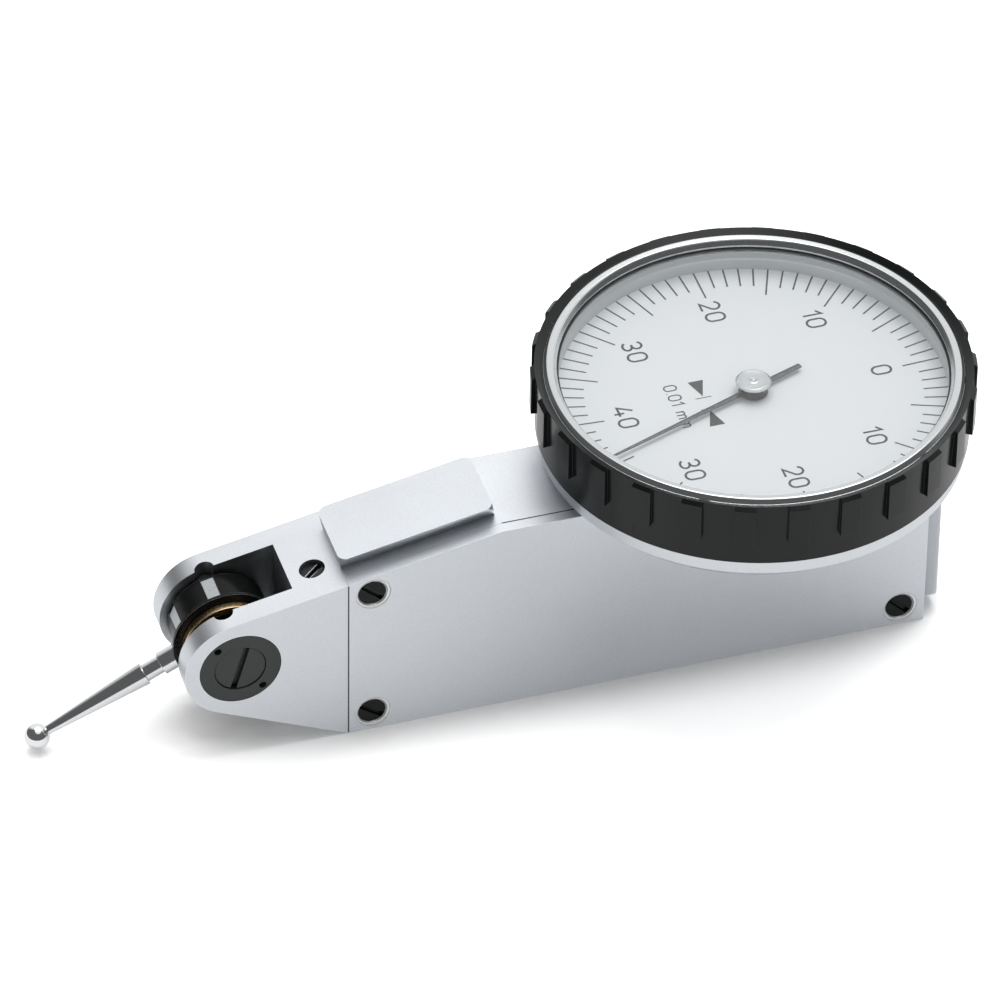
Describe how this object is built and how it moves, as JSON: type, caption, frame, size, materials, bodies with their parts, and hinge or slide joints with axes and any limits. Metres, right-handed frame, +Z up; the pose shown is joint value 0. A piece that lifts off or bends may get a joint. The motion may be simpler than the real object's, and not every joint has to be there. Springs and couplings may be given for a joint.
{
  "type": "dial test indicator",
  "caption": "Lever dial test indicator with a swivelling ball stylus, dovetailed metal body, ribbed turning bezel and graduated round dial",
  "frame": {"origin": "centre of the flat bottom face that the body stands on", "axes": "+X along the body from the stylus to the dial end, +Z up along the dial's axis, -Y out of the side cover"},
  "size_m": [0.0702, 0.032, 0.0237],
  "materials": {
    "satin_body": "satin, fine ground grain",
    "blackened_steel": "black oxide",
    "screw_steel": "dark polished",
    "bright_steel": "fine ground",
    "ball_chrome": "polished",
    "brass": "turned",
    "bezel_black": "gloss black",
    "rim_chrome": "satin chrome",
    "crystal_glass": "clear",
    "ring_grey": "matt grey",
    "dial_silver": "frosted silver",
    "hand_grey": "dark grey",
    "jewel_red": "polished",
    "spring_bronze": "rolled"
  },
  "bodies": {
    "body": {"body_casing": "satin_body", "side_cover": "satin_body", "cover_screw_1": "screw_steel", "cover_screw_2": "screw_steel", "cover_screw_3": "screw_steel", "cover_screw_4": "screw_steel", "adjusting_screw": "screw_steel", "pivot_ring_near": "blackened_steel", "pivot_ring_far": "blackened_steel", "pivot_plug_near": "blackened_steel", "pivot_plug_far": "blackened_steel", "centring_pin": "bright_steel", "stop_pin_upper": "bright_steel", "stop_pin_lower": "bright_steel", "bridge_pillar_upper": "brass", "bridge_pillar_lower": "brass", "movement_bridge": "brass", "bridge_screw_upper": "screw_steel", "bridge_screw_lower": "screw_steel", "arbor_jewel_near": "jewel_red", "arbor_jewel_far": "jewel_red", "spindle_jewel": "jewel_red", "hairspring": "spring_bronze", "hairspring_stud": "bright_steel", "dial_base": "satin_body", "dial_base_screw_front": "screw_steel", "dial_base_screw_rear": "screw_steel", "spindle_bush": "brass", "bezel_retainer": "screw_steel"},
    "lever": {"pivot_axle": "bright_steel", "axle_collar": "bright_steel", "friction_bush": "brass", "sector_arm": "bright_steel", "centring_spring": "spring_bronze"},
    "stylus": {"swivel_drum": "blackened_steel", "stylus_shaft": "bright_steel", "contact_ball": "ball_chrome", "drum_key_1": "bright_steel", "drum_key_2": "bright_steel", "drum_key_3": "bright_steel", "drum_key_4": "bright_steel"},
    "crown": {"crown_arbor": "bright_steel", "arbor_pinion": "bright_steel", "crown_wheel": "brass"},
    "pointer": {"pointer_spindle": "bright_steel", "spindle_pinion": "bright_steel", "hairspring_collet": "brass", "pointer_hand": "hand_grey", "hub_cap": "ball_chrome"},
    "bezel": {"bezel_ring": "bezel_black", "crystal_rim": "rim_chrome", "crystal": "crystal_glass", "inner_ring": "ring_grey", "dial_plate": "dial_silver"}
  },
  "joints": [
    {"name": "lever_pivot", "type": "hinge", "parent": "body", "child": "lever", "pos_m": [-0.0299, 0, 0.0082], "axis": [0, 1, 0], "range_deg": [-1.5, 1.5], "stiffness_Nm_per_rad": 0.06},
    {"name": "stylus_swivel", "type": "hinge", "parent": "lever", "child": "stylus", "pos_m": [-0.0299, 0, 0.0082], "axis": [0, 1, 0], "range_deg": [-60, 140]},
    {"name": "crown_turn", "type": "hinge", "parent": "body", "child": "crown", "pos_m": [0.0095, 0, 0.0082], "axis": [0, 1, 0], "range_deg": [-38, 38]},
    {"name": "pointer_turn", "type": "hinge", "parent": "body", "child": "pointer", "pos_m": [0.0095, 0, 0.0163], "axis": [0, 0, 1], "range_deg": [-182, 182]},
    {"name": "bezel_turn", "type": "hinge", "parent": "body", "child": "bezel", "pos_m": [0.0095, 0, 0.0163], "axis": [0, 0, 1], "continuous": true}
  ],
  "couplings": [
    {"joint": "crown_turn", "follows": "lever_pivot", "ratio": -25.267},
    {"joint": "pointer_turn", "follows": "lever_pivot", "ratio": 121.28}
  ]
}
